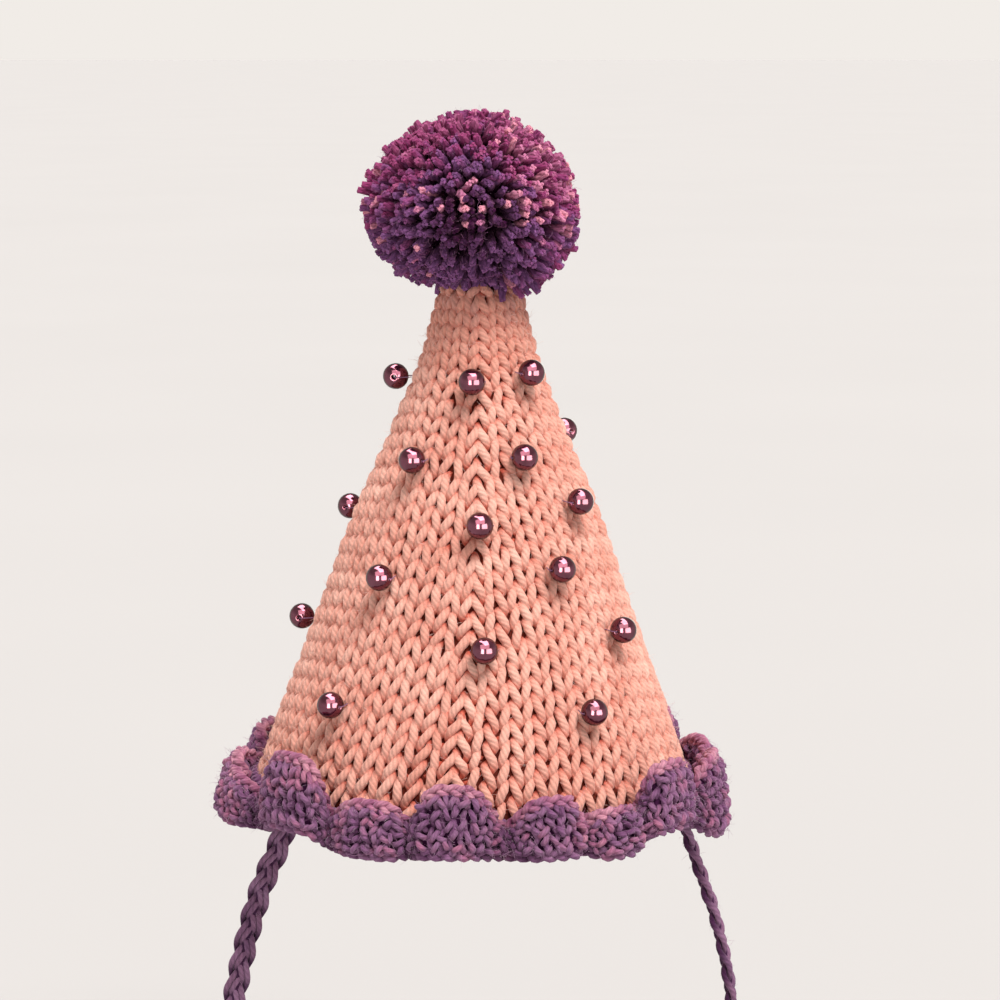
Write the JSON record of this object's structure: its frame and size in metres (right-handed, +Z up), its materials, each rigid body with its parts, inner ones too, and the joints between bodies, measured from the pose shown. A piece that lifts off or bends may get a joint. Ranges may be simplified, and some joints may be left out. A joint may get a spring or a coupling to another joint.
{
  "type": "knit party hat",
  "caption": "Tall knitted cone hat with a fluted crocheted edge, a yarn pompom on the tip, sewn-on pearls and a plaited chin strap",
  "frame": {"origin": "middle of the crown's opening, in the plane of its knitted rim", "axes": "+Z up the cone towards the pompom, -Y out of the front, +X to the right as seen from the front"},
  "size_m": [0.1225, 0.1189, 0.2749],
  "materials": {
    "crown_yarn": "matte plied yarn, knitted",
    "ruffle_yarn": "matte plied yarn, crocheted",
    "pompom_yarn": "matte cut yarn ends",
    "strap_yarn": "matte plied yarn, plaited",
    "pearl": "pearly lacquer on glass"
  },
  "bodies": {
    "root": {"crown": "crown_yarn", "ruffle": "ruffle_yarn", "pompom": "pompom_yarn", "chin_strap": "strap_yarn", "pearl_top_1": "pearl", "pearl_top_2": "pearl", "pearl_top_3": "pearl", "pearl_top_4": "pearl", "pearl_top_5": "pearl", "pearl_upper_1": "pearl", "pearl_upper_2": "pearl", "pearl_upper_3": "pearl", "pearl_upper_4": "pearl", "pearl_upper_5": "pearl", "pearl_middle_1": "pearl", "pearl_middle_2": "pearl", "pearl_middle_3": "pearl", "pearl_middle_4": "pearl", "pearl_middle_5": "pearl", "pearl_lower_1": "pearl", "pearl_lower_2": "pearl", "pearl_lower_3": "pearl", "pearl_lower_4": "pearl", "pearl_lower_5": "pearl", "pearl_low_1": "pearl", "pearl_low_2": "pearl", "pearl_low_3": "pearl", "pearl_low_4": "pearl", "pearl_low_5": "pearl", "pearl_hem_1": "pearl", "pearl_hem_2": "pearl", "pearl_hem_3": "pearl", "pearl_hem_4": "pearl", "pearl_hem_5": "pearl"}
  },
  "joints": []
}
